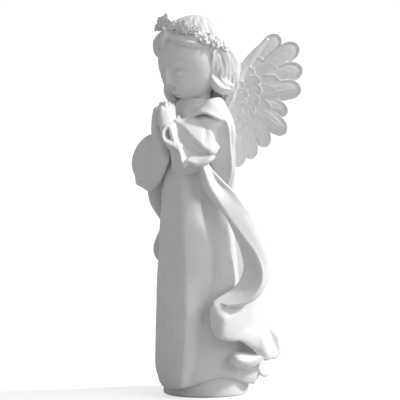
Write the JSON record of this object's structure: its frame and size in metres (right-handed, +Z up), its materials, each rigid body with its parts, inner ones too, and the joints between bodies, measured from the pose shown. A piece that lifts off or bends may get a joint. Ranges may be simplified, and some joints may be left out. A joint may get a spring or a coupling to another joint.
{
  "type": "plaster angel statue",
  "caption": "Standing child angel in a long gown and cloak, praying, with a flower wreath, raised wings and a low plinth.",
  "frame": {"origin": "on the floor under the middle of the neck, in the underside of the plinth", "axes": "+Z up; the figure faces -Y, and its left side is +X"},
  "size_m": [0.2176, 0.2545, 0.6037],
  "materials": {
    "plaster": "matte"
  },
  "bodies": {
    "root": {"angel": "plaster"}
  },
  "joints": []
}
